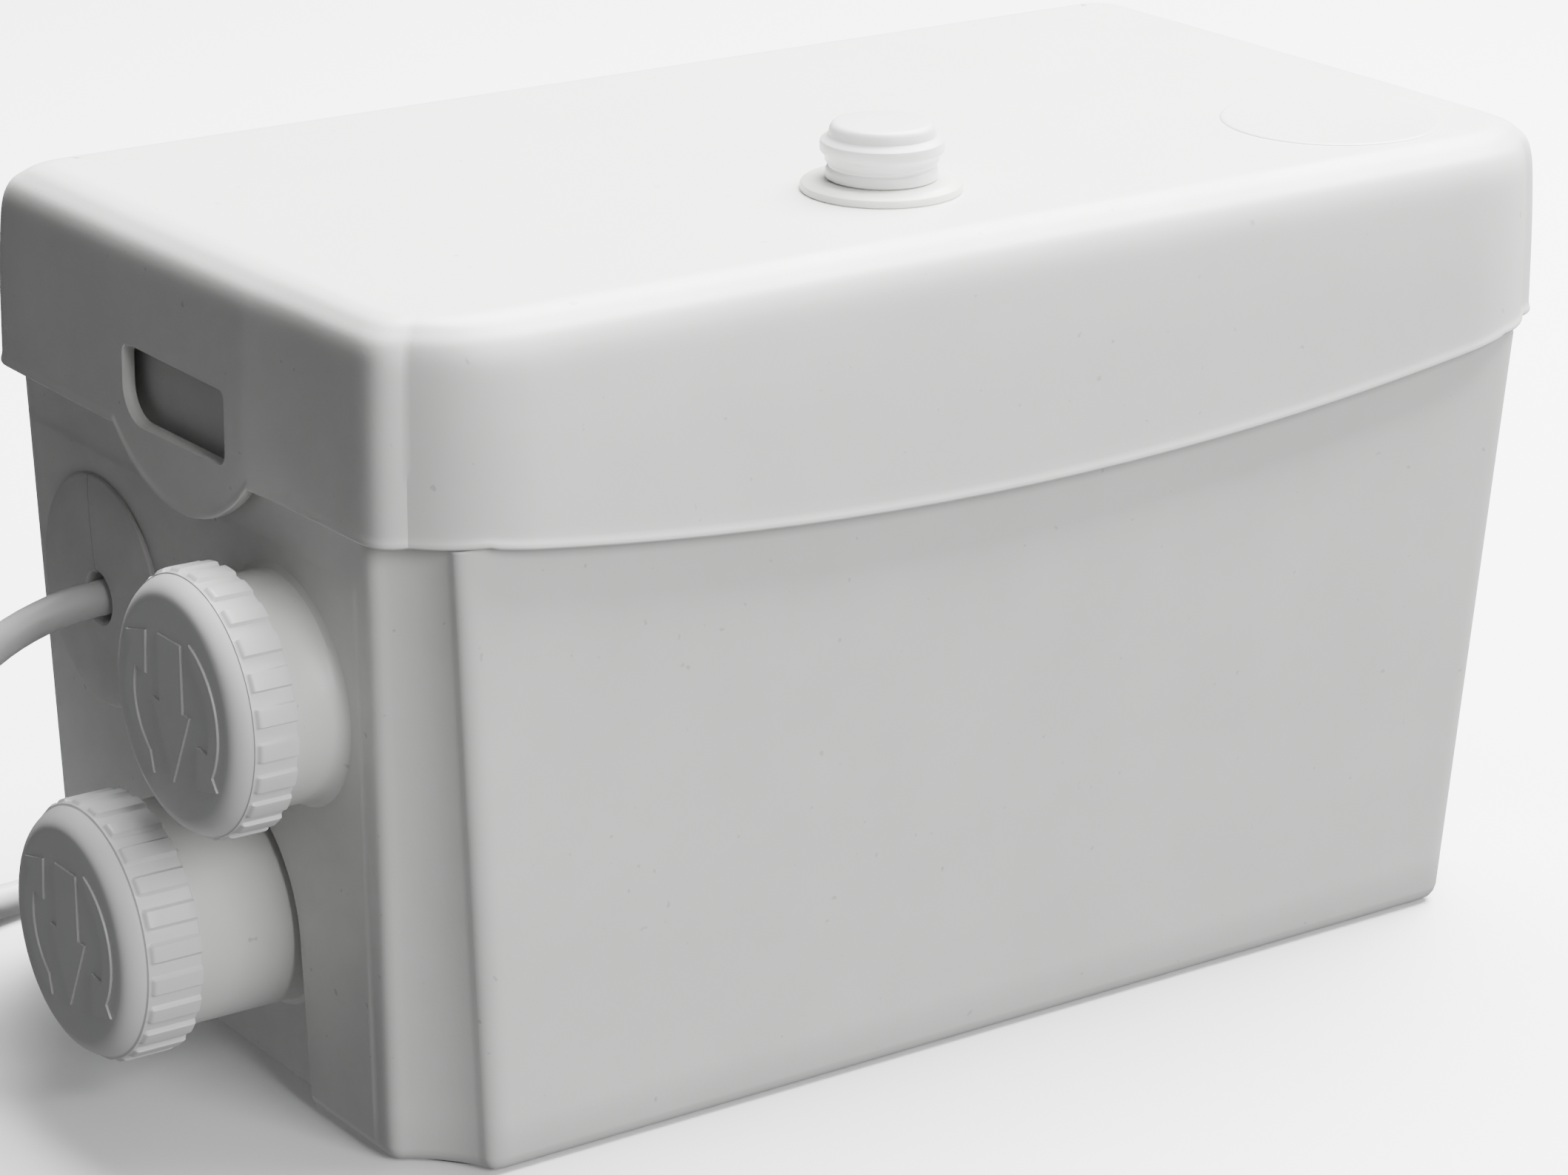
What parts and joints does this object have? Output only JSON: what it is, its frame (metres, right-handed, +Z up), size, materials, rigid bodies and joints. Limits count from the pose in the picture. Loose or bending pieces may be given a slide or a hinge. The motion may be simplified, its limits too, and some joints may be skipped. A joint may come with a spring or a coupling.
{
  "type": "macerator pump",
  "caption": "White boxed macerator lifting pump with side inlets closed by screw caps, vent plug, rear cable entry and discharge elbow.",
  "frame": {"origin": "on the floor under the middle of the tank", "axes": "+X to the right side with the discharge elbow, -X the side with the two capped inlets, -Y the plain front, +Z up"},
  "size_m": [0.3889, 0.2724, 0.1921],
  "materials": {
    "tank_white": "satin white moulded plastic",
    "lid_white": "satin white moulded plastic",
    "cap_white": "satin white moulded plastic",
    "vent_plastic": "milky translucent plastic",
    "grommet_white": "soft white plastic",
    "seal_rubber": "black rubber",
    "flap_rubber": "black rubber",
    "elbow_rubber": "dark grey moulded rubber",
    "filter_foam": "open carbon foam",
    "inner_plastic": "light grey plastic",
    "pump_grey": "mid grey moulded plastic",
    "impeller_nylon": "black glass-filled nylon",
    "capacitor_case": "glossy plastic can",
    "motor_alloy": "die-cast aluminium",
    "core_steel": "stacked laminations",
    "steel": "plain stainless steel",
    "blade_steel": "stainless sheet",
    "copper": "enamelled copper wire",
    "lead_black": "black plastic",
    "plunger_red": "red plastic",
    "cord_white": "white flexible plastic sheath",
    "plug_white": "white moulded plastic",
    "brass_pins": "nickel-plated brass"
  },
  "bodies": {
    "tank_unit": {"tank": "tank_white", "lid_gasket": "seal_rubber", "upper_flap_seat": "pump_grey", "upper_flap_pin": "steel", "lower_flap_seat": "pump_grey", "lower_flap_pin": "steel", "cable_grommet": "grommet_white", "cable_box": "inner_plastic", "cord_clamp": "pump_grey", "inner_cord": "cord_white", "terminal_block": "inner_plastic", "capacitor": "capacitor_case", "inner_cover": "inner_plastic", "cover_seal": "seal_rubber", "cover_screws": "steel", "motor_housing": "motor_alloy", "motor_cap": "motor_alloy", "motor_screws": "steel", "stator_core": "core_steel", "stator_windings": "copper", "upper_bearing": "steel", "lower_bearing": "steel", "shaft_seal": "seal_rubber", "motor_lead": "lead_black", "pump_casing": "pump_grey", "suction_plate": "pump_grey", "grinder_basket": "blade_steel", "riser_elbow": "pump_grey", "check_valve_body": "pump_grey", "check_flap_pin": "steel", "riser_top": "pump_grey", "discharge_fitting": "pump_grey", "discharge_seal": "seal_rubber", "discharge_nut": "pump_grey", "discharge_elbow": "elbow_rubber", "elbow_clamps": "steel", "pressure_tube": "inner_plastic", "switch_housing": "lead_black", "power_cord_lead": "cord_white", "power_cord_coil": "cord_white", "power_cord_tail": "cord_white", "plug_body": "plug_white", "plug_pins": "brass_pins"},
    "lid": {"lid": "lid_white", "vent_collar": "vent_plastic", "carbon_filter": "filter_foam"},
    "vent_plug": {"vent_plug": "vent_plastic"},
    "upper_seal": {"upper_cap_seal": "seal_rubber"},
    "upper_cap": {"upper_cap": "cap_white"},
    "lower_seal": {"lower_cap_seal": "seal_rubber"},
    "lower_cap": {"lower_cap": "cap_white"},
    "upper_flap": {"upper_flap": "flap_rubber"},
    "lower_flap": {"lower_flap": "flap_rubber"},
    "check_flap": {"check_flap": "flap_rubber"},
    "pump_rotor": {"rotor": "core_steel", "motor_shaft": "steel", "impeller": "impeller_nylon", "cutter_blade": "blade_steel", "blade_nut": "steel"},
    "switch_plunger": {"switch_plunger": "plunger_red"}
  },
  "joints": [
    {"name": "lid_lift", "type": "slide", "parent": "tank_unit", "child": "lid", "axis": [0, 0, 1], "range_m": [0, 0.12]},
    {"name": "vent_plug_pull", "type": "slide", "parent": "lid", "child": "vent_plug", "axis": [0, 0, 1], "range_m": [0, 0.025]},
    {"name": "upper_cap_slide", "type": "slide", "parent": "tank_unit", "child": "upper_seal", "axis": [-1, 0, 0], "range_m": [0, 0.01125]},
    {"name": "upper_cap_turn", "type": "hinge", "parent": "upper_seal", "child": "upper_cap", "pos_m": [-0.165, -0.0306, 0.0947], "axis": [-1, 0, 0], "range_deg": [0, 900]},
    {"name": "lower_cap_slide", "type": "slide", "parent": "tank_unit", "child": "lower_seal", "axis": [-1, 0, 0], "range_m": [0, 0.015]},
    {"name": "lower_cap_turn", "type": "hinge", "parent": "lower_seal", "child": "lower_cap", "pos_m": [-0.174, -0.0017, 0.0392], "axis": [-1, 0, 0], "range_deg": [0, 1200]},
    {"name": "upper_flap_swing", "type": "hinge", "parent": "tank_unit", "child": "upper_flap", "pos_m": [-0.1329, -0.0306, 0.1182], "axis": [0, -1, 0], "range_deg": [0, 55]},
    {"name": "lower_flap_swing", "type": "hinge", "parent": "tank_unit", "child": "lower_flap", "pos_m": [-0.124, -0.0017, 0.0627], "axis": [0, -1, 0], "range_deg": [0, 55]},
    {"name": "check_flap_swing", "type": "hinge", "parent": "tank_unit", "child": "check_flap", "pos_m": [0.0994, 0.03, 0.0702], "axis": [0, -1, 0], "range_deg": [0, 38]},
    {"name": "pump_spin", "type": "hinge", "parent": "tank_unit", "child": "pump_rotor", "pos_m": [0.05, 0, 0.08], "axis": [0, 0, 1], "continuous": true},
    {"name": "switch_travel", "type": "slide", "parent": "tank_unit", "child": "switch_plunger", "axis": [0, 0, 1], "range_m": [0, 0.0015], "stiffness_N_per_m": 300}
  ],
  "couplings": [
    {"joint": "upper_cap_slide", "follows": "upper_cap_turn", "m_per_rad": 0.0007162},
    {"joint": "lower_cap_slide", "follows": "lower_cap_turn", "m_per_rad": 0.0007162}
  ]
}
